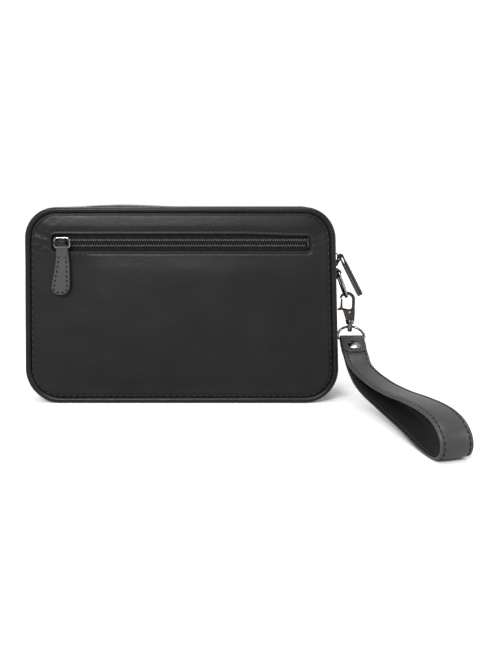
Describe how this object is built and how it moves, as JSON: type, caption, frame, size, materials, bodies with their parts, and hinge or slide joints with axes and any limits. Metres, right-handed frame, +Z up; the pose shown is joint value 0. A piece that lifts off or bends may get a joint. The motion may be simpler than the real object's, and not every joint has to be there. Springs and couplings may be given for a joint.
{
  "type": "makeup bag",
  "caption": "Black leather makeup bag with piped panels, a zip over the top, a zipped front pocket and a wrist strap on a lobster hook.",
  "frame": {"origin": "bottom centre of the bag, on the surface it stands on", "axes": "+Z up, -Y towards the pocket panel, +X towards the wrist strap"},
  "size_m": [0.2679, 0.1696, 0.1304],
  "materials": {
    "black_leather": "satin",
    "strap_leather": "satin",
    "puller_leather": "matte",
    "zip_tape": "matte",
    "zip_coil": "satin",
    "lining_cloth": "matte",
    "board": "matte",
    "gunmetal": "polished",
    "nickel": "polished"
  },
  "bodies": {
    "bag": {"pocket_panel": "black_leather", "pocket_piping": "black_leather", "gusset": "black_leather", "zip_strip_pocket_side": "black_leather", "main_tape_pocket_side": "zip_tape", "main_coil_pocket_side": "zip_coil", "main_tape_joined_end": "zip_tape", "main_coil_joined_end": "zip_coil", "main_bottom_stop": "nickel", "pocket_tape_upper": "zip_tape", "pocket_tape_lower": "zip_tape", "pocket_coil_upper": "zip_coil", "pocket_coil_lower": "zip_coil", "pocket_zip_stop": "nickel", "pocket_pouch": "lining_cloth", "pocket_side_board": "board", "pocket_side_lining": "lining_cloth", "base_board": "board", "gusset_lining": "lining_cloth", "side_tab_left": "black_leather", "side_tab_right": "black_leather"},
    "plain_side": {"plain_panel": "black_leather", "plain_piping": "black_leather", "zip_strip_plain_side": "black_leather", "main_tape_plain_side": "zip_tape", "main_coil_plain_side": "zip_coil", "plain_side_board": "board", "plain_side_lining": "lining_cloth"},
    "main_slider_body": {"main_slider": "gunmetal"},
    "main_bail_body": {"main_bail": "gunmetal"},
    "main_puller_body": {"main_puller": "puller_leather"},
    "pocket_slider_body": {"pocket_slider": "gunmetal"},
    "pocket_bail_body": {"pocket_bail": "gunmetal"},
    "pocket_puller_body": {"pocket_puller": "puller_leather"},
    "side_ring_body": {"side_ring": "nickel"},
    "hook": {"hook_body": "gunmetal", "gate_pin": "nickel"},
    "gate": {"hook_gate": "gunmetal"},
    "swivel": {"hook_swivel": "nickel"},
    "strap_ring_body": {"strap_ring": "nickel"},
    "strap": {"strap_outer": "strap_leather", "strap_lining": "strap_leather", "strap_end_fold": "strap_leather", "strap_rivet_cap": "nickel", "strap_rivet_post": "nickel"}
  },
  "joints": [
    {"name": "mouth_hinge", "type": "hinge", "parent": "bag", "child": "plain_side", "pos_m": [0, 0.025, 0.002], "axis": [-1, 0, 0], "range_deg": [0, 14]},
    {"name": "main_slider_slide", "type": "slide", "parent": "bag", "child": "main_slider_body", "axis": [-0.0367, 0, 0.9993], "range_m": [0, 0.0115]},
    {"name": "main_bail_hinge", "type": "hinge", "parent": "main_slider_body", "child": "main_bail_body", "pos_m": [0.10474, 0, 0.09161], "axis": [0, 1, 0], "range_deg": [0, 67]},
    {"name": "main_puller_hinge", "type": "hinge", "parent": "main_bail_body", "child": "main_puller_body", "pos_m": [0.10803, 0, 0.0971], "axis": [0, 1, 0], "range_deg": [-121, 0]},
    {"name": "pocket_slider_slide", "type": "slide", "parent": "bag", "child": "pocket_slider_body", "axis": [1, 0, 0], "range_m": [0, 0.1535]},
    {"name": "pocket_bail_hinge", "type": "hinge", "parent": "pocket_slider_body", "child": "pocket_bail_body", "pos_m": [-0.08185, -0.02318, 0.1074], "axis": [0, -0.0523, -0.9986], "range_deg": [0, 90]},
    {"name": "pocket_puller_hinge", "type": "hinge", "parent": "pocket_bail_body", "child": "pocket_puller_body", "pos_m": [-0.0769, -0.02335, 0.10425], "axis": [-1, 0, 0], "range_deg": [0, 100]},
    {"name": "side_ring_hinge", "type": "hinge", "parent": "bag", "child": "side_ring_body", "pos_m": [0.10589, 0, 0.08635], "axis": [0, -1, 0], "range_deg": [0, 5]},
    {"name": "hook_swing", "type": "hinge", "parent": "side_ring_body", "child": "hook", "pos_m": [0.1123, 0, 0.0691], "axis": [0, -1, 0], "range_deg": [0, 35]},
    {"name": "gate_hinge", "type": "hinge", "parent": "hook", "child": "gate", "pos_m": [0.1148, 0, 0.0584], "axis": [0, 1, 0], "range_deg": [0, 10], "stiffness_Nm_per_rad": 0.002},
    {"name": "swivel_spin", "type": "hinge", "parent": "hook", "child": "swivel", "pos_m": [0.1154, 0, 0.05], "axis": [0, 0, 1], "range_deg": [0, 100]},
    {"name": "strap_ring_hinge", "type": "hinge", "parent": "swivel", "child": "strap_ring_body", "pos_m": [0.1154, 0, 0.0479], "axis": [-0.9996, -0.03, 0], "range_deg": [0, 25]},
    {"name": "strap_swing", "type": "hinge", "parent": "strap_ring_body", "child": "strap", "pos_m": [0.11563, -0.00773, 0.04094], "axis": [-0.9996, -0.03, 0], "range_deg": [0, 35]}
  ],
  "couplings": [
    {"joint": "main_puller_hinge", "follows": "main_bail_hinge", "ratio": -1.8}
  ]
}
